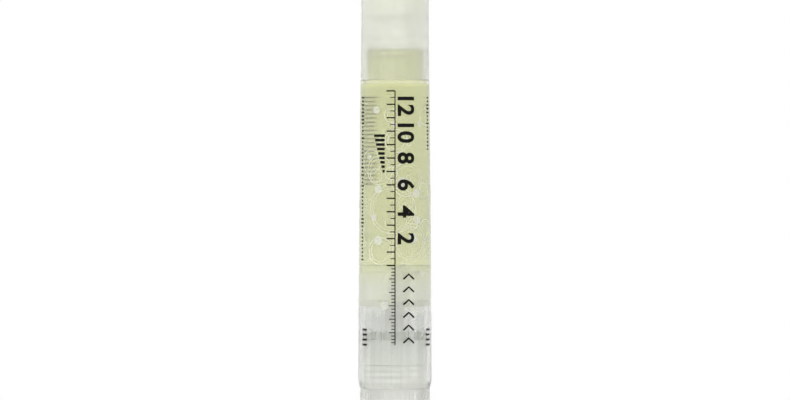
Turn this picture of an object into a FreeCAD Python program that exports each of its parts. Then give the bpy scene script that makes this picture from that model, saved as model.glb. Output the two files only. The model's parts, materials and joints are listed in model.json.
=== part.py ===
import FreeCAD
import Part
import math
import os

V = FreeCAD.Vector
UP = V(0, 0, 1)

# Twist-up nail oil pen. It stands on its knob at the origin, with its axis along +Z.
# Turning the knob turns the lead screw, which climbs through the fixed drive nut and
# pushes the piston and the oil up towards the brush. All lengths are in millimetres.

# Fits
seat_gap = 0.05             # pieces pressed or snapped together, and the oil in its tube
slide_gap = 0.04            # piston lips in the bore
run_gap = 0.1               # pieces that turn or pull off, all round
end_gap = 0.15              # pieces that turn, end to end
thread_gap = 0.15           # lead screw in the drive nut
overrun = 1.0               # how far a cut runs past the face that it opens

# Barrel
barrel_length = 46.05       # foot to shoulder
bore_radius = 4.5
barrel_wall = 0.68          # at the shoulder
barrel_flare = 0.38         # how much wider the foot is than the shoulder
shoulder_wall = 0.55
shoulder_rounding = 0.04
foot_slope_height = 1.15    # over this height the foot narrows to the knob's rim
foot_slope_rounding = 2.0   # where that slope begins
foot_edge_step = 0.03       # the foot's edge stands this far outside the knob's rim
foot_edge_rounding = 0.08
socket_step = 0.35          # the socket for nut and knob is this much wider than the bore
foot_lip_height = 0.35
neck_length = 4.55
neck_inset = 0.35           # the neck stands this far inside the bore's radius
neck_wall = 0.95
neck_rounding = 0.15
snap_bead_height = 0.15
snap_bead_width = 0.8
snap_bead_drop = 0.9        # from the top of the neck to the first bead
snap_bead_step = 1.7
snap_bead_count = 2

# Knob
knob_length = 31.42
parting_gap = 0.08          # between knob and barrel
knob_inset = 0.31           # the rim of the knob stands this far inside the barrel's foot
knob_taper = 0.2            # how much narrower the foot of the knob is than its rim
knob_wall = 0.8             # at the foot
knob_floor = 1.2
knob_rim_rounding = 0.08
knob_foot_rounding = 0.8
rib_count = 48
rib_groove_width = 0.32
rib_groove_depth = 0.15
rib_foot_margin = 2.2
rib_rim_margin = 0.6

# Drive nut
spigot_depth = 3.5          # how far above the barrel's foot the nut begins
nut_length = 3.75
nut_wall = 0.4              # round the ratchet
nut_hub_wall = 1.0
nut_key_count = 12
nut_key_width = 0.9
nut_key_height = 1.1
nut_key_reach = 0.4         # how far the keys reach into the bore
ratchet_count = 16
ratchet_depth = 0.28

# Lead screw
thread_pitch = 2.0
thread_depth = 0.5
thread_root_width = 1.2
thread_crest_width = 0.6
thread_sink = 0.1           # how far the ridge is rooted in the core
screw_core_radius = 1.5
screw_flat_cut = 0.25       # depth of the two flats below the core's radius
screw_foot_gap = 0.8        # above the knob's floor
screw_head_radius = 1.9
screw_head_height = 1.2
screw_head_rise = 1.0       # from the piston's foot to the head
screw_head_rounding = 0.4
screw_stem_radius = 1.1
screw_stem_drop = 0.4       # from the piston's foot down to the thread

# Drive sleeve
sleeve_plug_depth = 8.0
spigot_ring_height = 0.2
spigot_ring_width = 0.9     # across the round section, most of which lies inside the spigot
spigot_ring_count = 3
nose_wall = 0.55
nose_flat_cut = 0.3

# Click ring
click_height = 1.1
pawl_height = 0.17
pawl_arm_wall = 0.28
pawl_arm_gap = 0.2
pawl_count = 2
pawl_arm_angle = 110
pawl_tip_angle = 9
pawl_root_angle = 22

# Piston
piston_rest = 3.7           # from the nut's keys up to the piston
piston_length = 6.3
piston_lip_height = 0.9
piston_lip_relief = 0.25
piston_wall = 0.85
piston_crown = 2.0
piston_boss_wall = 0.65
piston_lip_rounding = 0.15

# Nozzle, brush and feed tube
nozzle_plug_depth = 4.0
nozzle_wall = 0.7
nozzle_flange_height = 0.9
nozzle_flange_inset = 0.1   # the flange stands this far inside the neck's radius
nozzle_collar_height = 6.0
nozzle_cone_height = 3.5
nozzle_tip_wall = 0.45
nozzle_rounding = 0.25
brush_seat_rise = 3.5       # from the flange up to the step that holds the brush
brush_base_height = 0.9
tuft_radius = 1.45
tuft_straight = 3.0         # beyond the nozzle
tuft_point = 7.5            # the rounded point above that
tuft_tip_radius = 0.2
feed_radius = 0.55
feed_bore_radius = 0.3
feed_tail = 1.5             # below the brush base
feed_reach = 2.0            # beyond the nozzle

# Cap and liner
cap_gap = 0.04              # between the cap's rim and the shoulder
cap_length = 42.41
cap_inset = 0.03            # the rim stands this far inside the shoulder
cap_taper = 0.3             # how much narrower the cap is at its top
cap_wall = 0.85
cap_top_wall = 1.3
cap_top_rounding = 1.4
cap_rim_rounding = 0.04
liner_wall = 0.6
liner_seal = 1.65           # length of the seal on the nozzle's collar
liner_rib_height = 1.05

# Radii that follow
socket_radius = bore_radius + socket_step
shoulder_radius = bore_radius + barrel_wall
foot_radius = shoulder_radius + barrel_flare
neck_radius = bore_radius - neck_inset
neck_bore_radius = neck_radius - neck_wall
snap_bead_radius = neck_radius + snap_bead_height
knob_rim_radius = foot_radius - knob_inset
foot_edge_radius = knob_rim_radius + foot_edge_step
knob_foot_radius = knob_rim_radius - knob_taper
knob_bore_radius = knob_foot_radius - knob_wall
spigot_ring_radius = socket_radius - run_gap
spigot_radius = spigot_ring_radius - spigot_ring_height
foot_lip_radius = spigot_radius + run_gap
nut_radius = socket_radius - seat_gap
ratchet_root_radius = nut_radius - nut_wall
ratchet_tip_radius = ratchet_root_radius - ratchet_depth
thread_crest_radius = screw_core_radius + thread_depth
screw_flat = screw_core_radius - screw_flat_cut
nut_hub_radius = thread_crest_radius + thread_gap + nut_hub_wall
nose_radius = thread_crest_radius + run_gap + nose_wall
nose_flat = nose_radius - nose_flat_cut
piston_radius = bore_radius - slide_gap
piston_body_radius = piston_radius - piston_lip_relief
nozzle_radius = neck_bore_radius - seat_gap
nozzle_bore_radius = nozzle_radius - nozzle_wall
nozzle_tip_bore_radius = tuft_radius + seat_gap
cap_rim_radius = shoulder_radius - cap_inset
cap_top_radius = cap_rim_radius - cap_taper
cap_skirt_radius = snap_bead_radius + run_gap
liner_bore_radius = nozzle_radius + run_gap

# Heights that follow
barrel_z = knob_length + parting_gap
shoulder_z = barrel_z + barrel_length
bore_top_z = shoulder_z - shoulder_wall
neck_top_z = shoulder_z + neck_length
nut_z = barrel_z + spigot_depth
ledge_z = nut_z + nut_length
key_top_z = ledge_z + nut_key_height
click_z = nut_z + end_gap
click_top_z = click_z + click_height
recess_top_z = click_top_z + end_gap
spigot_top_z = nut_z - end_gap
piston_z = key_top_z + piston_rest
piston_top_z = piston_z + piston_length
screw_z = knob_floor + screw_foot_gap
thread_top_z = piston_z - screw_stem_drop
head_z = piston_z + screw_head_rise
head_top_z = head_z + screw_head_height
nozzle_foot_z = neck_top_z - nozzle_plug_depth
collar_z = neck_top_z + nozzle_flange_height
collar_top_z = collar_z + nozzle_collar_height
nozzle_top_z = collar_top_z + nozzle_cone_height
brush_seat_z = collar_z + brush_seat_rise
brush_foot_z = brush_seat_z - brush_base_height
tuft_shoulder_z = nozzle_top_z + tuft_straight
tuft_top_z = tuft_shoulder_z + tuft_point
feed_top_z = nozzle_top_z + feed_reach
cap_z = shoulder_z + cap_gap
cap_top_z = cap_z + cap_length
cap_end_z = cap_top_z - cap_top_wall
liner_z = collar_top_z - liner_seal
liner_top_z = cap_end_z - seat_gap


def turned(corners):
    """Solid turned about the axis from corners (radius, height, rounding); the rounding may be left out."""
    count = len(corners)
    points = [V(corner[0], 0, corner[1]) for corner in corners]
    starts = list(points)
    ends = list(points)
    edges = []
    for i, corner in enumerate(corners):
        if len(corner) == 3:
            back = (points[i - 1] - points[i]).normalize()
            on = (points[(i + 1) % count] - points[i]).normalize()
            half = back.getAngle(on) / 2
            starts[i] = points[i] + back * (corner[2] / math.tan(half))
            ends[i] = points[i] + on * (corner[2] / math.tan(half))
            middle = points[i] + (back + on).normalize() * (corner[2] / math.sin(half) - corner[2])
            edges.append(Part.Arc(starts[i], middle, ends[i]).toShape())
        edges.append((i, (i + 1) % count))
    wire = []
    for edge in edges:
        if isinstance(edge, tuple):
            edge = Part.LineSegment(ends[edge[0]], starts[edge[1]]).toShape()
        wire.append(edge)
    return Part.Face(Part.Wire(wire)).revolve(V(), UP, 360)


def tube(inner_radius, outer_radius, foot_z, top_z):
    corners = [(inner_radius, foot_z), (outer_radius, foot_z), (outer_radius, top_z), (inner_radius, top_z)]
    return turned(corners)


def rod(radius, foot_z, top_z):
    return Part.makeCylinder(radius, top_z - foot_z, V(0, 0, foot_z), UP)


def flat_bar(half_width, reach, foot_z, top_z):
    corner = V(-reach, -half_width, foot_z)
    return Part.makeBox(2 * reach, 2 * half_width, top_z - foot_z, corner)


def flatted_rod(radius, half_width, foot_z, top_z):
    """Round rod with two flats."""
    return rod(radius, foot_z, top_z).common(flat_bar(half_width, radius, foot_z, top_z))


def sector(inner_radius, outer_radius, foot_z, top_z, start, sweep):
    """Piece of a ring, from the angle start over the angle sweep, both in degrees."""
    whole = Part.makeCylinder(outer_radius, top_z - foot_z, V(0, 0, foot_z), UP, sweep)
    piece = whole.cut(rod(inner_radius, foot_z, top_z))
    return turn(piece, start)


def turn(shape, angle):
    return shape.rotated(V(), UP, angle)


def around(shape, count):
    """Copies of a shape spread evenly round the axis."""
    return [turn(shape, 360 * i / count) for i in range(count)]


def one_solid(shape):
    return shape.removeSplitter().Solids[0]


def thread(foot_z, turns, gap):
    """Right-hand ridge of the lead screw, grown all round by gap, with the core inside it.

    foot_z lies a whole number of turns from the foot of the screw, so that every thread is in step.
    """
    core_radius = screw_core_radius + gap
    crest_radius = thread_crest_radius + gap
    root = thread_root_width / 2 + gap
    crest = thread_crest_width / 2 + gap
    corners = [
        V(core_radius - thread_sink, 0, -root),
        V(crest_radius, 0, -crest),
        V(crest_radius, 0, crest),
        V(core_radius - thread_sink, 0, root),
    ]
    outline = Part.makePolygon(corners + corners[:1])
    helix = Part.Wire(Part.makeLongHelix(thread_pitch, turns * thread_pitch, core_radius))
    ridge = helix.makePipeShell([outline], True, True).translated(V(0, 0, foot_z))
    return ridge.fuse(rod(core_radius, foot_z, foot_z + turns * thread_pitch))


def cap_radius_at(z):
    return cap_rim_radius - cap_taper * (z - cap_z) / cap_length


def cap_bore_at(z):
    return cap_radius_at(z) - cap_wall


def knob_radius_at(z):
    return knob_foot_radius + knob_taper * z / knob_length


def barrel_radius_at(z):
    return foot_radius - barrel_flare * (z - barrel_z) / barrel_length


def barrel():
    slope_top_z = barrel_z + foot_slope_height
    corners = [
        (foot_lip_radius, barrel_z),
        (foot_edge_radius, barrel_z, foot_edge_rounding),
        (barrel_radius_at(slope_top_z), slope_top_z, foot_slope_rounding),
        (shoulder_radius, shoulder_z, shoulder_rounding),
        (neck_radius, shoulder_z),
        (neck_radius, neck_top_z, neck_rounding),
        (neck_bore_radius, neck_top_z),
        (neck_bore_radius, bore_top_z),
        (bore_radius, bore_top_z),
        (bore_radius, ledge_z),
        (socket_radius, ledge_z),
        (socket_radius, barrel_z + foot_lip_height),
        (foot_lip_radius, barrel_z + foot_lip_height),
    ]
    body = turned(corners)
    for i in range(snap_bead_count):
        middle_z = neck_top_z - snap_bead_drop - i * snap_bead_step
        # A three-cornered ring, rooted in the neck as deep as it stands out.
        bead = [
            (neck_radius - snap_bead_height, middle_z - snap_bead_width),
            (snap_bead_radius, middle_z),
            (neck_radius - snap_bead_height, middle_z + snap_bead_width),
        ]
        body = body.fuse(turned(bead))
    groove_width = nut_key_width + 2 * seat_gap
    corner = V(0, -groove_width / 2, ledge_z - overrun)
    groove = Part.makeBox(socket_radius, groove_width, overrun + nut_key_height + end_gap, corner)
    groove = groove.common(rod(socket_radius, ledge_z - overrun, key_top_z + end_gap))
    return one_solid(body.cut(around(groove, nut_key_count)))


def knob():
    corners = [
        (0, 0),
        (knob_foot_radius, 0, knob_foot_rounding),
        (knob_rim_radius, knob_length, knob_rim_rounding),
        (knob_bore_radius, knob_length),
        (knob_bore_radius, knob_floor),
        (0, knob_floor),
    ]
    body = turned(corners)
    low_z = rib_foot_margin
    high_z = knob_length - rib_rim_margin
    groove = Part.makePolygon([
        V(knob_radius_at(low_z) - rib_groove_depth, -rib_groove_width / 2, low_z),
        V(knob_radius_at(low_z) + overrun, -rib_groove_width / 2, low_z),
        V(knob_radius_at(high_z) + overrun, -rib_groove_width / 2, high_z),
        V(knob_radius_at(high_z) - rib_groove_depth, -rib_groove_width / 2, high_z),
        V(knob_radius_at(low_z) - rib_groove_depth, -rib_groove_width / 2, low_z),
    ])
    groove = Part.Face(groove).extrude(V(0, rib_groove_width, 0))
    return one_solid(body.cut(around(groove, rib_count)))


def drive_nut():
    body = rod(nut_radius, nut_z, ledge_z)
    body = body.fuse(rod(nut_hub_radius, ledge_z, key_top_z))
    corner = V(0, -nut_key_width / 2, ledge_z)
    key = Part.makeBox(nut_radius, nut_key_width, nut_key_height, corner)
    key = key.common(tube(bore_radius - nut_key_reach, nut_radius, ledge_z, key_top_z))
    body = body.fuse(around(key, nut_key_count))
    teeth = []
    step = 2 * math.pi / ratchet_count
    for i in range(ratchet_count):
        for radius, angle in ((ratchet_root_radius, i * step), (ratchet_tip_radius, (i + 1) * step)):
            teeth.append(V(radius * math.cos(angle), radius * math.sin(angle), nut_z))
    recess = Part.Face(Part.makePolygon(teeth + teeth[:1])).extrude(V(0, 0, recess_top_z - nut_z))
    turns_below = math.floor((nut_z - overrun - screw_z) / thread_pitch)
    turns = math.ceil((key_top_z + overrun - screw_z) / thread_pitch) - turns_below
    bore = thread(screw_z + turns_below * thread_pitch, turns, thread_gap)
    return one_solid(body.cut([recess, bore]))


def lead_screw():
    turns = math.ceil((thread_top_z - screw_z) / thread_pitch)
    bar = thread(screw_z, turns, 0)
    bar = bar.common(flat_bar(screw_flat, thread_crest_radius, screw_z, thread_top_z))
    stem = rod(screw_stem_radius, thread_top_z, head_z)
    head = turned([
        (0, head_z),
        (screw_head_radius, head_z),
        (screw_head_radius, head_top_z, screw_head_rounding),
        (0, head_top_z),
    ])
    return one_solid(bar.fuse([stem, head]))


def drive_sleeve():
    plug_radius = knob_bore_radius - seat_gap
    plug_z = knob_length - sleeve_plug_depth
    body = rod(plug_radius, plug_z, knob_length)
    body = body.fuse(rod(spigot_radius, knob_length, spigot_top_z))
    first_z = barrel_z + foot_lip_height + end_gap
    ring_step = (spigot_top_z - first_z) / spigot_ring_count
    ring_section = spigot_ring_width / 2
    for i in range(spigot_ring_count):
        middle = V(0, 0, first_z + ring_section + i * ring_step)
        body = body.fuse(Part.makeTorus(spigot_ring_radius - ring_section, ring_section, middle, UP))
    body = body.fuse(flatted_rod(nose_radius, nose_flat, spigot_top_z, click_top_z))
    hole_radius = thread_crest_radius + run_gap
    hole = flatted_rod(hole_radius, screw_flat + run_gap, plug_z - overrun, click_top_z + overrun)
    return one_solid(body.cut(hole))


def click_ring():
    tip_radius = ratchet_tip_radius - run_gap
    arm_radius = tip_radius - pawl_height
    arm_bore_radius = arm_radius - pawl_arm_wall
    hub_radius = arm_bore_radius - pawl_arm_gap
    hub = rod(hub_radius, click_z, click_top_z)
    # The arms trail behind their roots when the knob is turned forwards.
    arm = sector(arm_bore_radius, arm_radius, click_z, click_top_z, 0, pawl_arm_angle)
    tip = sector(arm_bore_radius, tip_radius, click_z, click_top_z, 0, pawl_tip_angle)
    root_start = pawl_arm_angle - pawl_root_angle
    root = sector(nose_radius, arm_radius, click_z, click_top_z, root_start, pawl_root_angle)
    pawl = arm.fuse([root, tip])
    body = hub.fuse(around(pawl, pawl_count))
    hole = flatted_rod(
        nose_radius + seat_gap, nose_flat + seat_gap, click_z - overrun, click_top_z + overrun)
    return one_solid(body.cut(hole))


def piston():
    crown_z = piston_top_z - piston_crown
    cup_radius = piston_body_radius - piston_wall
    socket_radius_in_piston = screw_head_radius + run_gap
    boss_radius = socket_radius_in_piston + piston_boss_wall
    throat_radius = screw_stem_radius + run_gap
    corners = [
        (throat_radius, piston_z),
        (boss_radius, piston_z),
        (boss_radius, crown_z),
        (cup_radius, crown_z),
        (cup_radius, piston_z),
        (piston_radius, piston_z, piston_lip_rounding),
        (piston_radius, piston_z + piston_lip_height),
        (piston_body_radius, piston_z + piston_lip_height + piston_lip_relief),
        (piston_body_radius, piston_top_z - piston_lip_height - piston_lip_relief),
        (piston_radius, piston_top_z - piston_lip_height),
        (piston_radius, piston_top_z, piston_lip_rounding),
        (0, piston_top_z),
        (0, head_top_z + end_gap),
        (socket_radius_in_piston, head_top_z + end_gap),
        (socket_radius_in_piston, head_z - end_gap),
        (throat_radius, head_z - end_gap),
    ]
    return turned(corners)


def oil_fill():
    radius = bore_radius - seat_gap
    neck_fill_radius = neck_bore_radius - seat_gap
    nozzle_fill_radius = nozzle_bore_radius - seat_gap
    corners = [
        (0, piston_top_z + seat_gap),
        (radius, piston_top_z + seat_gap),
        (radius, bore_top_z - seat_gap),
        (neck_fill_radius, bore_top_z - seat_gap),
        (neck_fill_radius, nozzle_foot_z - seat_gap),
        (nozzle_fill_radius, nozzle_foot_z - seat_gap),
        (nozzle_fill_radius, neck_top_z),
        (0, neck_top_z),
    ]
    return turned(corners)


def nozzle():
    tip_radius = nozzle_tip_bore_radius + nozzle_tip_wall
    flange_radius = neck_radius - nozzle_flange_inset
    corners = [
        (nozzle_bore_radius, nozzle_foot_z),
        (nozzle_radius, nozzle_foot_z),
        (nozzle_radius, neck_top_z),
        (flange_radius, neck_top_z),
        (flange_radius, collar_z, nozzle_rounding),
        (nozzle_radius, collar_z),
        (nozzle_radius, collar_top_z, nozzle_rounding),
        (tip_radius, nozzle_top_z, nozzle_rounding),
        (nozzle_tip_bore_radius, nozzle_top_z),
        (nozzle_tip_bore_radius, brush_seat_z),
        (nozzle_bore_radius, brush_seat_z),
    ]
    return turned(corners)


def brush_tuft():
    hole_radius = feed_radius + seat_gap
    base_radius = nozzle_bore_radius - seat_gap
    straight = turned([
        (hole_radius, brush_foot_z),
        (base_radius, brush_foot_z),
        (base_radius, brush_seat_z),
        (tuft_radius, brush_seat_z),
        (tuft_radius, tuft_shoulder_z),
        (0, tuft_shoulder_z),
        (0, feed_top_z + seat_gap),
        (hole_radius, feed_top_z + seat_gap),
    ])
    # The point is an arc that leaves the straight side without a corner.
    drop = tuft_radius - tuft_tip_radius
    arc_radius = (drop ** 2 + tuft_point ** 2) / (2 * drop)
    middle = math.asin(tuft_point / arc_radius) / 2
    arc = Part.Arc(
        V(tuft_radius, 0, tuft_shoulder_z),
        V(tuft_radius - arc_radius * (1 - math.cos(middle)), 0,
          tuft_shoulder_z + arc_radius * math.sin(middle)),
        V(tuft_tip_radius, 0, tuft_top_z),
    ).toShape()
    rest = Part.makePolygon([
        V(tuft_tip_radius, 0, tuft_top_z),
        V(0, 0, tuft_top_z),
        V(0, 0, tuft_shoulder_z),
        V(tuft_radius, 0, tuft_shoulder_z),
    ])
    point = Part.Face(Part.Wire([arc] + rest.Edges)).revolve(V(), UP, 360)
    return one_solid(straight.fuse(point))


def feed_tube():
    return tube(feed_bore_radius, feed_radius, brush_foot_z - feed_tail, feed_top_z)


def cap():
    corners = [
        (cap_skirt_radius, cap_z),
        (cap_rim_radius, cap_z, cap_rim_rounding),
        (cap_top_radius, cap_top_z, cap_top_rounding),
        (0, cap_top_z),
        (0, cap_end_z),
        (cap_bore_at(cap_end_z), cap_end_z),
        (cap_bore_at(collar_z), collar_z),
        (cap_skirt_radius, collar_z),
    ]
    return turned(corners)


def cap_liner():
    liner_radius = liner_bore_radius + liner_wall
    rib_top_z = liner_z + liner_rib_height
    high_rib_z = liner_top_z - liner_rib_height
    corners = [
        (liner_bore_radius, liner_z),
        (cap_bore_at(liner_z) - seat_gap, liner_z),
        (cap_bore_at(rib_top_z) - seat_gap, rib_top_z),
        (liner_radius, rib_top_z),
        (liner_radius, high_rib_z),
        (cap_bore_at(high_rib_z) - seat_gap, high_rib_z),
        (cap_bore_at(liner_top_z) - seat_gap, liner_top_z),
        (0, liner_top_z),
        (0, liner_top_z - liner_wall),
        (liner_bore_radius, liner_top_z - liner_wall),
    ]
    return turned(corners)


pieces = {
    "barrel": barrel,
    "drive_nut": drive_nut,
    "nozzle": nozzle,
    "brush_tuft": brush_tuft,
    "feed_tube": feed_tube,
    "oil_fill": oil_fill,
    "cap": cap,
    "cap_liner": cap_liner,
    "knob": knob,
    "drive_sleeve": drive_sleeve,
    "click_ring": click_ring,
    "lead_screw": lead_screw,
    "piston": piston,
}

os.makedirs("parts", exist_ok=True)
for name, make in pieces.items():
    solid = make()
    print(name, "valid" if solid.isValid() else "NOT VALID", solid.ShapeType, round(solid.Volume, 2), "mm3")
    solid.exportStep("parts/" + name + ".step")
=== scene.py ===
import bmesh
import bpy
import json
import math
import random
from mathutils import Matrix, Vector


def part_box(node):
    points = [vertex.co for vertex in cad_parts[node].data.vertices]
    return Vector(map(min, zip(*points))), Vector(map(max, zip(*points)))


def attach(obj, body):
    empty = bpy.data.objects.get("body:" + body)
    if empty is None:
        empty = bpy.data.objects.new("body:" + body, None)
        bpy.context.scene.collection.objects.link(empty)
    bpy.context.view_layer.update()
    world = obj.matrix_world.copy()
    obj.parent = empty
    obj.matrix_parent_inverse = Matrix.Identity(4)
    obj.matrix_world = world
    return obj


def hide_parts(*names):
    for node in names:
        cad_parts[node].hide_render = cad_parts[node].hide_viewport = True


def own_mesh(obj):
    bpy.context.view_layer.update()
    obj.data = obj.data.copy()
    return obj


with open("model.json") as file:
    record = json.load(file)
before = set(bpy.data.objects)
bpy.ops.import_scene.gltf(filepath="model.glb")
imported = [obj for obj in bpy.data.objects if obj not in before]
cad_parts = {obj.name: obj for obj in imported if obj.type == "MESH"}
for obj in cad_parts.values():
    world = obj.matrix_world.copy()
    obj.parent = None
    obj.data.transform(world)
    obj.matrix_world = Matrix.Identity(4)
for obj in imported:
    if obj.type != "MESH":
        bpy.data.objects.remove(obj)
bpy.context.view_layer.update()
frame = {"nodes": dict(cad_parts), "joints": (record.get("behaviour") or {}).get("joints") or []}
nodes = frame["nodes"]
scene = bpy.context.scene
mm = 0.001               # the scene is in metres, sizes are written as 5 * mm
print("frame loaded,", len(nodes), "nodes")


# shader helpers: sums are plain expressions, every other node comes from add()

class Link:
    def __init__(self, shader, socket):
        self.shader = shader
        self.socket = socket

    def calc(self, operation, first, second):
        return self.shader.add("Math", {"operation": operation}, {0: first, 1: second})

    def __add__(self, other):
        return self.calc("ADD", self, other)

    def __radd__(self, other):
        return self.calc("ADD", other, self)

    def __sub__(self, other):
        return self.calc("SUBTRACT", self, other)

    def __rsub__(self, other):
        return self.calc("SUBTRACT", other, self)

    def __mul__(self, other):
        return self.calc("MULTIPLY", self, other)

    def __rmul__(self, other):
        return self.calc("MULTIPLY", other, self)


class Shader:
    def __init__(self, owner):
        owner.use_nodes = True
        self.owner = owner
        self.tree = owner.node_tree
        self.tree.nodes.clear()

    def add(self, kind, settings=None, sockets=None, out=0):
        node = self.tree.nodes.new("ShaderNode" + kind)
        for key, value in (settings or {}).items():
            if key == "stops":           # (place, colour) pairs of a ramp
                stops = node.color_ramp.elements
                for i, (place, colour) in enumerate(value):
                    stop = stops[i] if i < 2 else stops.new(place)
                    stop.position = place
                    stop.color = (*colour, 1)
            else:
                setattr(node, key, value)
        for key, value in (sockets or {}).items():
            if isinstance(value, Link):
                self.tree.links.new(value.socket, node.inputs[key])
            else:
                node.inputs[key].default_value = value
        return Link(self, node.outputs[out] if node.outputs else None)

    def blend(self, factor, first, second):
        first, second = (c if isinstance(c, Link) else (*c, 1) for c in (first, second))
        return self.add("Mix", {"data_type": "RGBA"}, {0: factor, 6: first, 7: second}, out=2)

    def stain(self, factor, colour, tint):                    # the colour, multiplied by the tint
        settings = {"data_type": "RGBA", "blend_type": "MULTIPLY"}
        return self.add("Mix", settings, {0: factor, 6: colour, 7: (*tint, 1)}, out=2)

    def level(self, value, low, high):                        # a straight rise between two limits
        return self.add("MapRange", None, {0: value, 1: low, 2: high, 3: 0.0, 4: 1.0})

    def ease(self, value, low, high, start=0.0, end=1.0):     # a soft step between two limits
        settings = {"interpolation_type": "SMOOTHSTEP"}
        return self.add("MapRange", settings, {0: value, 1: low, 2: high, 3: start, 4: end})

    def noise(self, grain, detail=3, stretch=(1, 1, 1), turn=0.0):
        # grain in metres, stretched along x, y and z, turned round z by degrees
        sockets = {
            "Vector": self.add("TexCoord", out=3),
            "Rotation": (0, 0, math.radians(turn)),
            "Scale": [1 / s for s in stretch],
        }
        place = self.add("Mapping", None, sockets)
        return self.add("TexNoise", None, {"Vector": place, "Scale": 1 / grain, "Detail": detail})


def newMaterial(name):
    return Shader(bpy.data.materials.new(name))


def plastic(name, spec):
    # moulded plastic: cloudy tint along the flow, uneven gloss, fine lengthwise scuffs, slight skin
    shader = newMaterial(name)
    cloud = shader.noise(spec["cloud"], 4, (1, 1, spec["cloudStretch"]))
    skin = shader.noise(spec["skin"], 2)
    scuff = shader.noise(spec["scuffGrain"], 2, (1, 1, spec["scuffStretch"]))
    marks = shader.level(scuff, *spec["scuffRange"])
    if spec["zones"] or spec["streaksBelow"] or spec["wet"] or spec["thin"]:
        height = shader.add("SeparateXYZ", None, {0: shader.add("TexCoord", out=3)}, out=2)
        height = height + (cloud - 0.5) * spec["ragged"]
    if spec["zones"]:        # (height, tint) pairs up the part, in some parts painted shade
        low, high = spec["zones"][0][0], spec["zones"][-1][0]
        stops = [((z - low) / (high - low), tint) for z, tint in spec["zones"]]
        colour = shader.add("ValToRGB", {"stops": stops}, {0: shader.level(height, low, high)})
        colour = shader.stain(cloud, colour, spec["tintDeep"])
    else:
        colour = shader.blend(cloud, spec["tint"], spec["tintDeep"])
    if spec["streaks"]:      # lengthwise streaks of painted shade
        shadeBands = shader.noise(spec["streakGrain"], 3, (1, 1, spec["streakStretch"]), spec["streakTurn"])
        shadeBands = shader.ease(shadeBands, *spec["streakRange"])
        if spec["streaksBelow"]:
            shadeBands = shadeBands * shader.ease(height, *spec["streaksBelow"], 1.0, 0.0)
        colour = shader.stain(shadeBands, colour, spec["streaks"])
    roughness, milk = spec["roughness"], spec["milk"]
    if milk:
        milk = milk + (cloud - 0.5) * spec["milkSwing"]
    if spec["thin"]:         # clearer where the wall is thin
        haze = shader.ease(height, *spec["thinBelow"], spec["thin"], 1.0)
        roughness, milk = haze * roughness, haze * milk
    sockets = {
        "Base Color": colour,
        "Roughness": roughness + (cloud - 0.5) * spec["swing"] + marks * spec["scuff"],
        "Normal": shader.add("Bump", None, {"Height": skin, "Distance": spec["skinDepth"], "Strength": 1.0}),
        "IOR": spec["ior"],
        "Transmission Weight": spec["clear"],
        "Subsurface Weight": spec["scatter"],
        "Subsurface Radius": spec["scatterSpread"],
        "Subsurface Scale": spec["scatterDepth"],
    }
    surface = shader.add("BsdfPrincipled", None, sockets)
    if spec["milk"]:
        soft = shader.add("BsdfTranslucent", None, {"Color": (*spec["tint"], 1)})
        surface = shader.add("MixShader", None, {0: milk, 1: surface, 2: soft})
    if spec["wet"]:          # clear where oil wets it
        wet = {**sockets, "Base Color": (*spec["wetTint"], 1), "Roughness": spec["wet"]}
        wet = {**wet, "Transmission Weight": 1.0, "Subsurface Weight": 0.0}
        wet = shader.add("BsdfPrincipled", None, wet)
        dry = shader.ease(height, *spec["wetBelow"])
        surface = shader.add("MixShader", None, {0: dry, 1: wet, 2: surface})
    output = {"Surface": surface}
    if spec["absorb"]:
        absorb = {"Color": (*spec["absorbTint"], 1), "Density": spec["absorb"]}
        output["Volume"] = shader.add("VolumeAbsorption", None, absorb)
    shader.add("OutputMaterial", None, output)
    return shader.owner


def dress(node, material):
    held = nodes[node].data.materials
    held.clear()
    held.append(material)


# finishes of the moulded parts: clear is the share of light that goes straight through,
# milk the share that is strewn on its way, zones are (height, tint) pairs
plasticBase = {
    "cloud": 6 * mm, "cloudStretch": 4,
    "skin": 0.35 * mm, "skinDepth": 0.004 * mm,
    "scuff": 0.02, "scuffGrain": 0.12 * mm, "scuffStretch": 40, "scuffRange": (0.58, 0.72),
    "swing": 0.05, "ior": 1.49, "milk": 0.0, "milkSwing": 0.15,
    "scatter": 0.0, "scatterDepth": 0.6 * mm, "scatterSpread": (1.0, 1.0, 0.9),
    "absorb": 0.0, "zones": None, "ragged": 1.5 * mm, "wet": 0.0, "thin": None,
    "streaks": None, "streakTurn": 0, "streakStretch": 60, "streakRange": (0.35, 0.65), "streaksBelow": None,
}
clearShell = {
    **plasticBase, "tintDeep": (0.984, 0.987, 0.980), "roughness": 0.12, "clear": 0.90,
    "absorb": 15.0, "absorbTint": (0.3, 0.35, 0.1),
    # painted shade by height: darker from 31 to 42 mm round the drive parts, darker and yellower along the oil,
    # near clear at the neck
    "zones": [
        (31 * mm, (0.965, 0.971, 0.955)), (34 * mm, (0.925, 0.932, 0.915)),
        (37 * mm, (0.885, 0.893, 0.875)), (42 * mm, (0.860, 0.868, 0.850)),
        (45 * mm, (0.950, 0.957, 0.938)), (50 * mm, (0.945, 0.952, 0.928)),
        (53 * mm, (0.900, 0.908, 0.882)), (62 * mm, (0.890, 0.898, 0.841)),
        (76.4 * mm, (0.890, 0.898, 0.818)), (77.0 * mm, (0.988, 0.990, 0.880)),
        (83 * mm, (0.990, 0.993, 0.905)),
    ],
    # painted shade: darker lengthwise streaks below the piston
    "streaks": (0.90, 0.903, 0.898), "streakGrain": 0.5 * mm, "streaksBelow": (42 * mm, 46 * mm),
}
milkyCap = {
    **plasticBase, "tint": (0.968, 0.973, 0.942), "tintDeep": (0.958, 0.964, 0.929), "roughness": 0.10,
    "clear": 0.88, "milk": 0.22, "absorb": 70.0, "absorbTint": (0.3, 0.33, 0.2),
    "thin": 0.72, "thinBelow": (81.5 * mm, 84 * mm),
}
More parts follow.
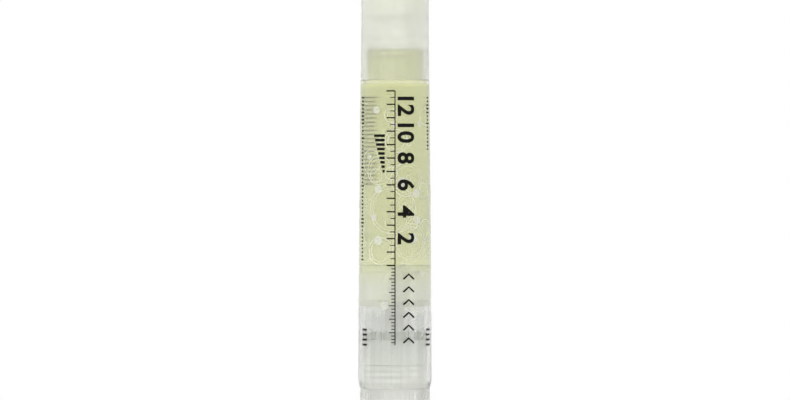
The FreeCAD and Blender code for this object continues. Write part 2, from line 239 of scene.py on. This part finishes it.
naturalKnob = {
    **plasticBase, "tint": (0.976, 0.979, 0.964), "tintDeep": (0.964, 0.968, 0.950), "roughness": 0.14,
    "clear": 0.78, "milk": 0.28,
    # painted shade: the darker lengthwise bands stand in for shade and dark reflections, turned round to place
    # them
    "streaks": (0.80, 0.80, 0.795), "streakGrain": 1.9 * mm, "streakTurn": 315,
}
naturalDrive = {
    **plasticBase, "tint": (0.985, 0.988, 0.976), "tintDeep": (0.978, 0.983, 0.968), "roughness": 0.08,
    "clear": 0.30, "milk": 0.30,
}
driveCrown = {
    **naturalDrive, "tintDeep": (0.993, 0.995, 0.992), "ragged": 0.2 * mm,
    "zones": [                           # painted shade: darker where its keys stand, in their grooves
        (34 * mm, (0.985, 0.988, 0.976)), (38.5 * mm, (0.985, 0.988, 0.976)),
        (38.9 * mm, (0.80, 0.808, 0.790)), (40 * mm, (0.80, 0.808, 0.790)),
    ],
}
milkyTip = {
    **plasticBase, "tint": (0.870, 0.876, 0.838), "tintDeep": (0.860, 0.867, 0.826), "roughness": 0.25,
    "clear": 0.0, "scatter": 0.2, "ragged": 0.1 * mm,
    "wet": 0.04, "wetBelow": (82.0 * mm, 82.2 * mm), "wetTint": (0.995, 0.998, 0.900),
}
softLiner = {
    **plasticBase, "tint": (0.985, 0.988, 0.965), "tintDeep": (0.977, 0.981, 0.955), "roughness": 0.30,
    "clear": 0.0, "milk": 0.50,
}
softPiston = {
    **plasticBase, "tintDeep": (0.994, 0.995, 0.990), "roughness": 0.35, "clear": 0.0, "ragged": 3 * mm,
    "zones": [                           # the oil above tints its crown
        (43 * mm, (0.986, 0.988, 0.970)), (46.5 * mm, (0.984, 0.986, 0.945)),
        (48.5 * mm, (0.970, 0.976, 0.815)), (50 * mm, (0.955, 0.963, 0.670)),
    ],
}
whiteAcetal = {
    **plasticBase, "tint": (0.975, 0.977, 0.962), "tintDeep": (0.968, 0.971, 0.954), "roughness": 0.35,
    "clear": 0.0, "scatter": 0.2,
}
tubePlastic = {
    **plasticBase, "tint": (0.985, 0.985, 0.965), "tintDeep": (0.980, 0.982, 0.957), "roughness": 0.15,
    "clear": 0.90,
}

dress("barrel", plastic("clearShell", clearShell))
dress("cap", plastic("milkyCap", milkyCap))
dress("knob", plastic("naturalKnob", naturalKnob))
dress("nozzle", plastic("milkyTip", milkyTip))
dress("cap_liner", plastic("softLiner", softLiner))
dress("piston", plastic("softPiston", softPiston))
dress("feed_tube", plastic("tubePlastic", tubePlastic))
dress("drive_sleeve", plastic("naturalDrive", naturalDrive))
dress("drive_nut", plastic("driveCrown", driveCrown))
acetalMaterial = plastic("whiteAcetal", whiteAcetal)
for node in ("click_ring", "lead_screw"):
    dress(node, acetalMaterial)
print("moulded parts dressed")


# mesh helpers

sharpAngle = math.radians(35)


def makePiece(name, bm, material, body):
    bmesh.ops.recalc_face_normals(bm, faces=bm.faces[:])
    mesh = bpy.data.meshes.new(name)
    bm.to_mesh(mesh)
    bm.free()
    mesh.shade_smooth()
    mesh.set_sharp_from_angle(angle=sharpAngle)
    mesh.materials.append(material)
    piece = bpy.data.objects.new(name, mesh)
    scene.collection.objects.link(piece)
    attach(piece, body)
    return piece


def roundTurns(steps):
    return [2 * math.pi * i / steps for i in range(steps)]


def ringOf(bm, radius, height, steps):
    return [bm.verts.new((radius * math.cos(t), radius * math.sin(t), height)) for t in roundTurns(steps)]


def turned(bm, profile, steps):
    # a solid of revolution from (radius, height) pairs, whose first and last lie on the axis
    rings = [ringOf(bm, radius, height, steps) for radius, height in profile[1:-1]]
    ends = [bm.verts.new((0, 0, profile[0][1])), bm.verts.new((0, 0, profile[-1][1]))]
    for i in range(steps):
        k = (i + 1) % steps
        bm.faces.new((ends[0], rings[0][k], rings[0][i]))
        for low, high in zip(rings, rings[1:]):
            bm.faces.new((low[i], low[k], high[k], high[i]))
        bm.faces.new((ends[1], rings[-1][i], rings[-1][k]))


def sleeve(bm, profile, steps):
    # a ring round the axis from (radius, height) pairs, closed back to the first
    rings = [ringOf(bm, radius, height, steps) for radius, height in profile]
    for low, high in zip(rings, rings[1:] + rings[:1]):
        for i in range(steps):
            k = (i + 1) % steps
            bm.faces.new((low[i], low[k], high[k], high[i]))


def widest(node, low, high):
    # the largest radius of a CAD node between two heights
    return max(math.hypot(v.co.x, v.co.y) for v in nodes[node].data.vertices if low <= v.co.z <= high)


def topOf(node, radius):
    # the greatest height of a CAD node at that distance from the axis or more
    return max(v.co.z for v in nodes[node].data.vertices if math.hypot(v.co.x, v.co.y) >= radius)


# oil: a column from just above the piston up to the shoulder and a short column in the neck, both held by the
# barrel

oil = {
    "tint": (0.985, 0.985, 0.960), "tintDeep": (0.975, 0.978, 0.945), "ior": 1.47,
    "streak": 5 * mm, "streakStretch": 5, "gloss": 0.02, "glossSwing": 0.03,
    "absorb": 75.0, "absorbNeck": 38.0, "absorbThin": 8.0, "absorbTint": (0.80, 0.818, 0.0),
    "overlap": 0.08 * mm,        # it wets the wall, so there is no film of air
    "clearance": 0.02 * mm,      # above the piston
    "parting": 0.005 * mm,       # between the two columns
    "steps": 96, "rings": 8,
    "flat": 0.8,                 # share of the radius at which the end faces have a ring
}


def oilMaterial(name, density):
    shader = newMaterial(name)
    streak = shader.noise(oil["streak"], 3, (1, 1, oil["streakStretch"]))
    sockets = {
        "Base Color": shader.blend(streak, oil["tint"], oil["tintDeep"]),
        "Roughness": oil["gloss"] + streak * oil["glossSwing"],
        "IOR": oil["ior"],
        "Transmission Weight": 1.0,
    }
    absorb = {"Color": (*oil["absorbTint"], 1), "Density": density}
    output = {
        "Surface": shader.add("BsdfPrincipled", None, sockets),
        "Volume": shader.add("VolumeAbsorption", None, absorb),
    }
    shader.add("OutputMaterial", None, output)
    return shader.owner


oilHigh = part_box("oil_fill")[1]
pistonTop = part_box("piston")[1].z
pistonTravel = next(j["range_m"][1] for j in frame["joints"] if j["name"] == "piston_feed")
boreRadius = oilHigh.x
boreTop = topOf("oil_fill", 0.95 * boreRadius)        # the neck is narrower than that
neckRadius = widest("oil_fill", boreTop + 1 * mm, oilHigh.z)

bm = bmesh.new()
columnLow = pistonTop + oil["clearance"]
columnRadius = boreRadius + oil["overlap"]
columnProfile = [(0, columnLow), (oil["flat"] * columnRadius, columnLow), (columnRadius, columnLow)]
for ring in range(1, oil["rings"] + 1):
    columnProfile.append((columnRadius, columnLow + (boreTop - columnLow) * ring / oil["rings"]))
columnProfile += [(oil["flat"] * columnRadius, boreTop), (0, boreTop)]
turned(bm, columnProfile, oil["steps"])
oilColumn = makePiece("oilColumn", bm, oilMaterial("clearOil", oil["absorb"]), "barrel")
left = boreTop - pistonTop - pistonTravel - oil["clearance"]
left / (boreTop - columnLow)
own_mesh(oilColumn)
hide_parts("oil_fill")

bm = bmesh.new()
neckReach = neckRadius + oil["overlap"]
neckLow = boreTop + oil["parting"]
neckMiddle = (neckLow + oilHigh.z) / 2
neckProfile = [(0, neckLow), (neckReach, neckLow), (neckReach, neckMiddle), (neckReach, oilHigh.z), (0, oilHigh.z)]
turned(bm, neckProfile, oil["steps"])
oilNeck = makePiece("oilNeck", bm, oilMaterial("neckOil", oil["absorbNeck"]), "barrel")
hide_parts("oil_fill")

# a film of oil round the piston, between its lips and the wall
film = {"inside": 0.75, "low": 0.15 * mm}
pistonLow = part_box("piston")[0].z
bm = bmesh.new()
filmInner = film["inside"] * boreRadius
filmLow = pistonLow + film["low"]
filmMiddle = (filmLow + pistonTop) / 2
filmProfile = [(filmInner, filmLow), (columnRadius, filmLow), (columnRadius, filmMiddle),
               (columnRadius, pistonTop), (filmInner, pistonTop)]
sleeve(bm, filmProfile, oil["steps"])
makePiece("oilFilm", bm, oilMaterial("thinOil", oil["absorbThin"]), "piston")
print("oil filled from", round(columnLow / mm, 2), "to", round(oilHigh.z / mm, 2), "mm")


# brush: tapered bristles set in a round base, drawn together to a point

brush = {
    "rows": 5, "inner": 0.70 * mm, "outer": 1.38 * mm, "sides": 6, "bends": 6,
    "thick": 0.070 * mm, "thin": 0.022 * mm, "taper": 1.5,
    "gap": 0.165 * mm,           # along each row, middle to middle
    "root": 0.3 * mm,            # how deep a bristle stands in the base
    "stray": 0.05, "swirl": 0.8, "turnStray": 0.02, "reachStray": (0.985, 1.01), "seed": 11,
    "tipDrop": 0.2, "rowDrop": 2.6, "dropPower": 1.5, "dropStray": 0.5,      # below the CAD tip, in mm
    "narrow": 0.25, "narrowLate": 0.65, "latePower": 2.2, "narrowest": 0.1,  # how the tuft draws in
    "baseReach": 1.6 * mm,       # only the base is wider than this
    "baseEdge": 0.15 * mm, "baseSteps": 64,
}
nylon = {
    "tint": (0.90, 0.885, 0.82), "tintDeep": (0.80, 0.785, 0.69),
    "band": 0.4 * mm, "bandStretch": 8, "grain": 0.05 * mm, "grainStretch": 10,
    "roughness": 0.32, "roughSwing": 0.16, "bump": 0.004 * mm, "bumpStrength": 0.8,
    "scatter": 0.35, "scatterDepth": 0.15 * mm,
}


def bristleMaterial():
    shader = newMaterial("bristleNylon")
    band = shader.noise(nylon["band"], 3, (1, 1, nylon["bandStretch"]))
    grain = shader.noise(nylon["grain"], 2, (1, 1, nylon["grainStretch"]))
    bump = {"Height": grain, "Distance": nylon["bump"], "Strength": nylon["bumpStrength"]}
    sockets = {
        "Base Color": shader.blend(band, nylon["tint"], nylon["tintDeep"]),
        "Roughness": nylon["roughness"] + grain * nylon["roughSwing"],
        "Normal": shader.add("Bump", None, bump),
        "Subsurface Weight": nylon["scatter"],
        "Subsurface Scale": nylon["scatterDepth"],
    }
    shader.add("OutputMaterial", None, {"Surface": shader.add("BsdfPrincipled", None, sockets)})
    return shader.owner


tuftLow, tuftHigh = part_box("brush_tuft")
tuftBase = topOf("brush_tuft", brush["baseReach"])              # top of the round base
tuftRadius = widest("brush_tuft", tuftBase + 1 * mm, tuftHigh.z)
tuftShoulder = topOf("brush_tuft", 0.98 * tuftRadius)          # above it the tuft draws in
bristleNylon = bristleMaterial()


def drawnIn(height):
    # how far the tuft narrows between its shoulder and its tip
    t = max(0.0, (height - tuftShoulder) / (tuftHigh.z - tuftShoulder))
    return max(brush["narrowest"], 1 - brush["narrow"] * t - brush["narrowLate"] * t ** brush["latePower"])


def bristle(bm, place, angle, tip, rng):
    sway = rng.uniform(-1, 1) * brush["stray"]
    bends = brush["bends"]
    heights = [tuftBase - brush["root"]]
    heights += [tuftShoulder + (tip - tuftShoulder) * i / bends for i in range(bends + 1)]
    rings = []
    for i, height in enumerate(heights):
        t = i / (len(heights) - 1)
        reach = place * drawnIn(height) * (1 + sway * t)
        turn = angle + sway * brush["swirl"] * t
        thick = brush["thick"] + (brush["thin"] - brush["thick"]) * t ** brush["taper"]
        centre = Vector((reach * math.cos(turn), reach * math.sin(turn), height))
        sides = roundTurns(brush["sides"])
        rings.append([bm.verts.new(centre + Vector((thick * math.cos(s), thick * math.sin(s), 0))) for s in sides])
    for low, high in zip(rings, rings[1:]):
        for k in range(brush["sides"]):
            n = (k + 1) % brush["sides"]
            bm.faces.new((low[k], low[n], high[n], high[k]))
    bm.faces.new(rings[0][::-1])
    bm.faces.new(rings[-1])


rng = random.Random(brush["seed"])
bm = bmesh.new()
bristleCount = 0
for row in range(brush["rows"]):
    share = row / (brush["rows"] - 1)
    reach = brush["inner"] + (brush["outer"] - brush["inner"]) * share
    count = round(2 * math.pi * reach / brush["gap"])
    for i in range(count):
        angle = 2 * math.pi * (i + 0.5 * (row % 2)) / count + rng.uniform(-brush["turnStray"], brush["turnStray"])
        drop = brush["tipDrop"] + brush["rowDrop"] * share ** brush["dropPower"]
        drop += rng.uniform(0, brush["dropStray"])
        bristle(bm, reach * rng.uniform(*brush["reachStray"]), angle, tuftHigh.z - drop * mm, rng)
    bristleCount += count
bristles = makePiece("bristles", bm, bristleNylon, "barrel")
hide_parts("brush_tuft")

bm = bmesh.new()
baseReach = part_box("brush_tuft")[1].x
edge = brush["baseEdge"]
crown = tuftBase + 0.5 * edge
baseProfile = [
    (0, tuftLow.z), (baseReach - edge, tuftLow.z), (baseReach, tuftLow.z + edge),
    (baseReach, tuftBase - edge), (baseReach - edge, tuftBase),
    (tuftRadius, tuftBase), (tuftRadius - edge, crown), (0, crown),
]
turned(bm, baseProfile, brush["baseSteps"])
brushBase = makePiece("brushBase", bm, bristleNylon, "barrel")
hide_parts("brush_tuft")
print("brush set with", bristleCount, "bristles")


# print on the barrel: thin ink wrapped on the tapered wall; u runs round it from the front, to the right

wall = {
    "sunk": 0.02 * mm, "ink": 0.015 * mm, "lift": 0.02 * mm,
    "chord": 0.22 * mm, "step": 0.2 * mm,            # longest straight run in a hoop and a bar
    "hoopSteps": 16, "dotSteps": 24, "dotRows": 4,   # at least that many in a hoop
    "shoulder": topOf("barrel", 5 * mm),             # the neck is narrower than that
}
wall["footRadius"], wall["foot"] = max((math.hypot(v.co.x, v.co.y), v.co.z) for v in nodes["barrel"].data.vertices)
wall["shoulderRadius"] = widest("barrel", wall["shoulder"] - 1 * mm, wall["shoulder"] + 0.3 * mm)


def wallRadius(z):
    share = (z - wall["foot"]) / (wall["shoulder"] - wall["foot"])
    return wall["footRadius"] + (wall["shoulderRadius"] - wall["footRadius"]) * share


def wrap(u, z, lift):
    radius = wallRadius(z)
    turn = u / radius
    return Vector(((radius + lift) * math.sin(turn), -(radius + lift) * math.cos(turn), z))


def ribbon(bm, path, width, lift=wall["lift"], loop=False):
    # a thin strip of ink along (u, z) points, closed round for a loop
    rows = []
    last = len(path) - 1
    low, high = -wall["sunk"], wall["ink"] + lift
    corners = ((-1, low), (1, low), (1, high), (-1, high))
    for i, (u, z) in enumerate(path):
        before = path[i - 1] if loop else path[max(i - 1, 0)]
        after = path[(i + 1) % len(path)] if loop else path[min(i + 1, last)]
        along = Vector((after[0] - before[0], after[1] - before[1])).normalized()
        side = Vector((-along.y, along.x)) * width / 2
        rows.append([bm.verts.new(wrap(u + s * side.x, z + s * side.y, h)) for s, h in corners])
    for near, far in zip(rows, rows[1:] + rows[:1] if loop else rows[1:]):
        for k in range(4):
            n = (k + 1) % 4
            bm.faces.new((near[k], near[n], far[n], far[k]))
    if not loop:
        bm.faces.new(rows[0][::-1])
        bm.faces.new(rows[-1])


def hoop(bm, u, z, radius, width, lift):
    count = max(wall["hoopSteps"], round(2 * math.pi * radius / wall["chord"]))
    path = [(u + radius * math.cos(t), z + radius * math.sin(t)) for t in roundTurns(count)]
    ribbon(bm, path, width, lift, loop=True)


def dot(bm, u, z, radius, lift):
    # a filled round of ink, bent with the wall
    steps, rows = wall["dotSteps"], wall["dotRows"]
    turns = roundTurns(steps)
    sides = []
    for height in (wall["ink"] + lift, -wall["sunk"]):
        middle = bm.verts.new(wrap(u, z, height))
        rings = []
        for row in range(1, rows + 1):
            reach = radius * row / rows
            places = [(u + reach * math.cos(t), z + reach * math.sin(t)) for t in turns]
            rings.append([bm.verts.new(wrap(*place, height)) for place in places])
        for i in range(steps):
            k = (i + 1) % steps
            bm.faces.new((middle, rings[0][i], rings[0][k]))
            for low, high in zip(rings, rings[1:]):
                bm.faces.new((low[i], high[i], high[k], low[k]))
        sides.append(rings[-1])
    for i in range(steps):
        k = (i + 1) % steps
        bm.faces.new((sides[0][i], sides[1][i], sides[1][k], sides[0][k]))


def across(bm, u0, u1, z, width, lift=wall["lift"]):
    count = max(1, math.ceil(abs(u1 - u0) / wall["step"]))
    ribbon(bm, [(u0 + (u1 - u0) * i / count, z) for i in range(count + 1)], width, lift)


def upright(bm, u, z0, z1, width):
    ribbon(bm, [(u, z0), (u, (z0 + z1) / 2), (u, z1)], width)


numerals = {
    "capital": 0.7,                      # capitals of the built-in face are about that share of its size
    "curveSteps": 6, "weld": 0.0005 * mm,
    "slices": 16, "span": 1.2, "below": 0.1,         # cuts across, in shares of the height
}


def numeral(bm, text, u, z, height, bold):
    # a number that reads down the barrel, its foot to the left; u and z are the middle of its foot line
    curve = bpy.data.curves.new("numeral", "FONT")
    curve.body = text
    curve.size = height / numerals["capital"]
    curve.offset = bold
    curve.align_x = "CENTER"
    curve.extrude = (wall["sunk"] + wall["ink"] + wall["lift"]) / 2
    curve.resolution_u = numerals["curveSteps"]
    holder = bpy.data.objects.new("numeral", curve)
    scene.collection.objects.link(holder)
    bpy.context.view_layer.update()
    mesh = bpy.data.meshes.new_from_object(holder.evaluated_get(bpy.context.evaluated_depsgraph_get()))
    bpy.data.objects.remove(holder)
    bpy.data.curves.remove(curve)
    part = bmesh.new()
    part.from_mesh(mesh)
    bpy.data.meshes.remove(mesh)
    bmesh.ops.remove_doubles(part, verts=part.verts[:], dist=numerals["weld"])
    for i in range(1, numerals["slices"]):           # cut across so that it bends round the wall
        cut = height * (i / numerals["slices"] * numerals["span"] - numerals["below"])
        whole = part.verts[:] + part.edges[:] + part.faces[:]
        bmesh.ops.bisect_plane(part, geom=whole, plane_co=(0, cut, 0), plane_no=(0, 1, 0))
    bmesh.ops.triangulate(part, faces=part.faces[:])
    middle = (wall["ink"] + wall["lift"] - wall["sunk"]) / 2
    made = {v: bm.verts.new(wrap(u + v.co.y, z - v.co.x, middle + v.co.z)) for v in part.verts}
    for face in part.faces:
        bm.faces.new([made[v] for v in face.verts])
    part.free()


ink = {
    "lay": 0.25 * mm, "fine": 0.04 * mm, "bump": 0.002 * mm, "bumpStrength": 0.6,
    "roughSwing": 0.15, "sheen": 0.06, "coverSwing": 1.2,
}


def inkMaterial(name, colour, worn, roughness, cover=1.0):
    # printed ink: slightly uneven lay, thinner in places where it doesn't cover fully
    shader = newMaterial(name)
    lay = shader.noise(ink["lay"], 4)
    fine = shader.noise(ink["fine"], 2)
    bump = {"Height": fine, "Distance": ink["bump"], "Strength": ink["bumpStrength"]}
    sockets = {
        "Base Color": shader.blend(lay, colour, worn),
        "Roughness": roughness + lay * ink["roughSwing"],
        "Normal": shader.add("Bump", None, bump),
        "Specular IOR Level": ink["sheen"],
    }
    if cover < 1:
        sockets["Alpha"] = cover + (lay - 0.5) * (ink["coverSwing"] * (1 - cover))
    shader.add("OutputMaterial", None, {"Surface": shader.add("BsdfPrincipled", None, sockets)})
    return shader.owner


darkInk = inkMaterial("darkInk", (0.005, 0.005, 0.005), (0.012, 0.012, 0.011), 0.45)
creamInk = inkMaterial("creamInk", (0.91, 0.918, 0.78), (0.87, 0.88, 0.73), 0.40, 0.75)
whiteInk = inkMaterial("whiteInk", (0.92, 0.925, 0.86), (0.87, 0.88, 0.79), 0.40, 0.55)

fillScale = {
    "turns": 13, "lead": 2 * mm,         # one mark for each turn of the knob
    "line": 0.16 * mm, "long": 1.25 * mm, "short": 0.7 * mm, "thick": 0.20 * mm, "thin": 0.13 * mm,
    "lift": 0.022 * mm,                  # the marks lie just over the line
    "numberEvery": 2, "numberFoot": 0.50 * mm, "numberHeight": 2.45 * mm, "bold": 0.10 * mm,
    # fine marks go on below the zero, every fourth one longer
    "lowest": 38 * mm, "fine": 4, "fineLong": 0.9 * mm, "fineShort": 0.55 * mm,
}

bm = bmesh.new()
zero = pistonTop
upright(bm, 0.0, fillScale["lowest"], zero + fillScale["turns"] * fillScale["lead"], fillScale["line"])
for half in range(2 * fillScale["turns"] + 1):
    length, thick = ("short", "thin") if half % 2 else ("long", "thick")
    z = zero + half * fillScale["lead"] / 2
    across(bm, -fillScale[length], 0.0, z, fillScale[thick], fillScale["lift"])
step = fillScale["lead"] / fillScale["fine"]
for i in range(1, int((zero - fillScale["lowest"]) / step) + 1):
    length = fillScale["fineShort" if i % fillScale["fine"] else "fineLong"]
    across(bm, -length, 0.0, zero - i * step, fillScale["thin"], fillScale["lift"])
makePiece("scaleMarks", bm, darkInk, "barrel")

bm = bmesh.new()
for turn in range(fillScale["numberEvery"], fillScale["turns"] + 1, fillScale["numberEvery"]):
    z = zero + turn * fillScale["lead"]
    numeral(bm, str(turn), fillScale["numberFoot"], z, fillScale["numberHeight"], fillScale["bold"])
makePiece("scaleNumbers", bm, darkInk, "barrel")

levelBars = {
    "count": 9, "foot": 63.9 * mm, "pitch": 0.66 * mm, "thick": 0.40 * mm,
    "right": -1.55 * mm, "longest": 1.75 * mm, "shortest": 0.35 * mm,
}

bm = bmesh.new()
for i in range(levelBars["count"]):
    share = i / (levelBars["count"] - 1)
    length = levelBars["shortest"] + (levelBars["longest"] - levelBars["shortest"]) * share
    z = levelBars["foot"] + i * levelBars["pitch"]
    across(bm, levelBars["right"] - length, levelBars["right"], z, levelBars["thick"])
makePiece("levelBars", bm, darkInk, "barrel")

edgeMarks = {
    "rows": ((-6.1 * mm, 50.5 * mm), (6.25 * mm, 67.0 * mm)),      # (u, lowest z) of each row
    "top": 74.9 * mm, "thick": 0.26 * mm, "pitch": 0.55 * mm, "lengths": (0.35, 0.5, 0.8), "seed": 5,
}
footMarks = {
    "places": (-5.35 * mm, 6.1 * mm), "count": 4, "foot": 38.0 * mm, "pitch": 0.75 * mm,
    "half": 0.55 * mm, "thick": 0.3 * mm,
}
backTicks = {                            # start and end in degrees round to the left
    "count": 22, "top": 75.0 * mm, "pitch": 0.62 * mm, "start": 168.9, "end": 152.0, "stray": 0.5,
    "thick": 0.24 * mm,
}
chevrons = {
    "count": 6, "foot": 38.3 * mm, "pitch": 1.9 * mm, "left": 1.25 * mm, "wide": 1.7 * mm,
    "rise": 0.75 * mm, "thick": 0.26 * mm,
}

rng = random.Random(edgeMarks["seed"])
bm = bmesh.new()
for u, low in edgeMarks["rows"]:
    z = edgeMarks["top"]
    while z > low:
        length = rng.choice(edgeMarks["lengths"]) * mm
        across(bm, u - length / 2, u + length / 2, z, edgeMarks["thick"])
        z -= edgeMarks["pitch"]
for u in footMarks["places"]:
    for i in range(footMarks["count"]):
        z = footMarks["foot"] + i * footMarks["pitch"]
        across(bm, u - footMarks["half"], u + footMarks["half"], z, footMarks["thick"])
for i in range(backTicks["count"]):      # on the back, seen dimly through the oil at the left edge
    z = backTicks["top"] - i * backTicks["pitch"]
    start = math.radians(backTicks["start"] + rng.uniform(-backTicks["stray"], backTicks["stray"]))
    end = math.radians(backTicks["end"])
    across(bm, -start * wallRadius(z), -end * wallRadius(z), z, backTicks["thick"])
for i in range(chevrons["count"]):       # they point the way the oil is fed
    z = chevrons["foot"] + i * chevrons["pitch"]
    tip = (chevrons["left"] + chevrons["wide"] / 2, z + chevrons["rise"])
    left, right = (chevrons["left"], z), (chevrons["left"] + chevrons["wide"], z)
    halfway = [((a[0] + tip[0]) / 2, (a[1] + tip[1]) / 2) for a in (left, right)]
    ribbon(bm, [left, halfway[0], tip, halfway[1], right], chevrons["thick"])
makePiece("sideMarks", bm, darkInk, "barrel")

bubbles = {
    "low": 41.6 * mm, "high": 74.0 * mm, "width": 0.09 * mm, "clearOfBack": 0.4, "seed": 23,
    # (u, z, radius) in mm of the large hoops on the front, each with a finer one inside it
    "large": [
        (-0.4, 58.2, 3.6), (1.9, 62.6, 2.5), (-2.5, 64.0, 2.1), (2.4, 53.4, 2.7), (-2.3, 52.0, 2.0),
        (0.2, 68.4, 1.7), (0.6, 47.0, 2.3), (-1.9, 44.6, 1.3), (2.6, 44.0, 1.1), (-0.6, 72.2, 1.0),
    ],
    "inset": 0.45, "innerWidth": 0.7, "largeLift": 0.0004 * mm,
    # smaller ones are strewn all round, each a hair above the last
    "strewn": 70, "smallest": 0.25 * mm, "largest": 1.9 * mm, "mostlySmall": 2.5,
    "strewnWidth": 0.9, "strewnLift": 0.005 * mm, "nextLift": 0.0001 * mm,
    # filled ones on the front, likewise in mm
    "filled": [
        (-2.9, 73.0, 0.55), (-0.2, 70.9, 0.40), (4.1, 71.0, 0.45), (1.1, 62.2, 0.80), (-2.6, 61.2, 0.60),
        (3.4, 60.6, 0.65), (-3.4, 57.0, 0.50), (3.6, 56.6, 0.60), (-2.6, 53.6, 0.70), (2.9, 53.9, 0.75),
        (4.4, 48.6, 0.45), (-1.6, 43.9, 0.55), (0.9, 66.6, 0.35), (-4.3, 66.0, 0.40),
    ],
    "fillLift": 0.013 * mm, "fillStrewn": 26, "fillReach": 1.6, "fillSizes": (0.3, 0.8),
}

rng = random.Random(bubbles["seed"])
bm = bmesh.new()
for i, (u, z, radius) in enumerate(bubbles["large"]):
    lift = bubbles["largeLift"] * i
    hoop(bm, u * mm, z * mm, radius * mm, bubbles["width"], lift)
    hoop(bm, u * mm, z * mm, (radius - bubbles["inset"]) * mm, bubbles["innerWidth"] * bubbles["width"], lift)
for i in range(bubbles["strewn"]):
    share = rng.random() ** bubbles["mostlySmall"]
    radius = bubbles["smallest"] + (bubbles["largest"] - bubbles["smallest"]) * share
    turn = rng.uniform(bubbles["clearOfBack"] - math.pi, math.pi - bubbles["clearOfBack"])
    z = rng.uniform(bubbles["low"] + radius, bubbles["high"] - radius)
    lift = bubbles["strewnLift"] + bubbles["nextLift"] * i
    hoop(bm, turn * wallRadius(z), z, radius, bubbles["width"] * bubbles["strewnWidth"], lift)
makePiece("bubbleLines", bm, creamInk, "barrel")

bm = bmesh.new()
for u, z, radius in bubbles["filled"]:
    dot(bm, u * mm, z * mm, radius * mm, bubbles["fillLift"])
for i in range(bubbles["fillStrewn"]):   # on the back half
    turn = math.pi + rng.choice((-1, 1)) * rng.uniform(bubbles["clearOfBack"], bubbles["fillReach"])
    z = rng.uniform(bubbles["low"], bubbles["high"])
    lift = bubbles["fillLift"] + bubbles["nextLift"] * i
    dot(bm, turn * wallRadius(z), z, rng.uniform(*bubbles["fillSizes"]) * mm, lift)
makePiece("bubbleFills", bm, whiteInk, "barrel")
print("barrel printed")


# stage: pale floor, white surroundings, two soft lamps above and two low strips

# the photo's width in pixels, metres per pixel, the height of its middle row, and the camera's distance
photo = {"width": 790, "scale": 0.15 * mm, "middle": 59.6 * mm, "away": 0.70}
stage = {
    "size": 6.0, "near": 0.10, "far": 0.40, "tint": (0.86, 0.86, 0.855), "speck": 3 * mm, "speckShade": 0.985,
    "roughness": 0.9, "worldFill": 0.58,
}
lamps = {
    "front": {"from": (0.16, -0.56, 0.76), "size": (0.50, 0.50), "watts": 2.0},
    "key": {"from": (-0.42, -0.46, 0.62), "size": (0.60, 0.18), "watts": 1.9},
    # low, so only the foot shows them
    "leftStrip": {"from": (-0.62, 0.05, 0.0175), "size": (0.20, 0.035), "watts": 0.020},
    "rightStrip": {"from": (0.55, -0.27, 0.0175), "size": (0.24, 0.035), "watts": 0.040},
}
target = Vector((0, 0, 0.06))


def seenDirectly(shader):
    # 1 for what the camera sees straight, in a reflection or through clear walls
    path = shader.add("LightPath").socket.node
    camera, glossy, through = (
        Link(shader, path.outputs[name]) for name in ("Is Camera Ray", "Is Glossy Ray", "Is Transmission Ray"))
    return shader.add("Math", {"operation": "ADD", "use_clamp": True}, {0: camera + glossy, 1: through})


def floorMaterial():
    # plain matt floor near the part, so its shadow shows, running out to white further off
    shader = newMaterial("paleFloor")
    place = shader.add("TexCoord", out=3)
    away = shader.add("VectorMath", {"operation": "LENGTH"}, {0: place}, out=1)
    fade = shader.ease(away, stage["near"], stage["far"])
    shade = [c * stage["speckShade"] for c in stage["tint"]]
    colour = shader.blend(shader.noise(stage["speck"], 3), stage["tint"], shade)
    matt = shader.add("BsdfPrincipled", None, {"Base Color": colour, "Roughness": stage["roughness"]})
    white = shader.add("Emission", None, {"Color": (1, 1, 1, 1), "Strength": 1.0})
    surface = shader.add("MixShader", None, {0: fade * seenDirectly(shader), 1: matt, 2: white})
    shader.add("OutputMaterial", None, {"Surface": surface})
    return shader.owner


def makeFloor():
    bm = bmesh.new()
    bmesh.ops.create_grid(bm, x_segments=8, y_segments=8, size=stage["size"] / 2)
    mesh = bpy.data.meshes.new("floor")
    bm.to_mesh(mesh)
    bm.free()
    mesh.materials.append(floorMaterial())
    floor = bpy.data.objects.new("floor", mesh)
    scene.collection.objects.link(floor)


def makeWorld():
    world = bpy.data.worlds.new("studio")
    scene.world = world
    shader = Shader(world)
    fill = shader.add("Background", None, {"Color": (1, 1, 1, 1), "Strength": stage["worldFill"]})
    white = shader.add("Background", None, {"Color": (1, 1, 1, 1), "Strength": 1.0})
    surface = shader.add("MixShader", None, {0: seenDirectly(shader), 1: fill, 2: white})
    shader.add("OutputWorld", None, {"Surface": surface})


def makeLamp(name, lamp):
    light = bpy.data.lights.new(name, "AREA")
    light.shape = "RECTANGLE"
    light.size, light.size_y = lamp["size"]
    light.energy = lamp["watts"]
    holder = bpy.data.objects.new(name, light)
    scene.collection.objects.link(holder)
    holder.location = lamp["from"]
    holder.rotation_euler = (target - Vector(lamp["from"])).to_track_quat("-Z", "Y").to_euler()


def makeCamera():
    camera = bpy.data.cameras.new("camera")
    camera.sensor_width = 36
    camera.lens = camera.sensor_width * photo["away"] / (photo["width"] * photo["scale"])
    camera.clip_start, camera.clip_end = 0.01, 20
    holder = bpy.data.objects.new("camera", camera)
    scene.collection.objects.link(holder)
    holder.location = (0, -photo["away"], photo["middle"])
    holder.rotation_euler = (math.pi / 2, 0, 0)
    scene.camera = holder


makeFloor()
makeWorld()
for name, lamp in lamps.items():
    makeLamp(name, lamp)
makeCamera()
scene.view_settings.view_transform = "Standard"
scene.cycles.max_bounces = 96
scene.cycles.transmission_bounces = 96
scene.cycles.glossy_bounces = 64
scene.cycles.diffuse_bounces = 32
scene.cycles.blur_glossy = 0.0          # else light that is strewn inside clear walls gets lost
scene.cycles.transparent_max_bounces = 32
print("stage, lamps and camera set")
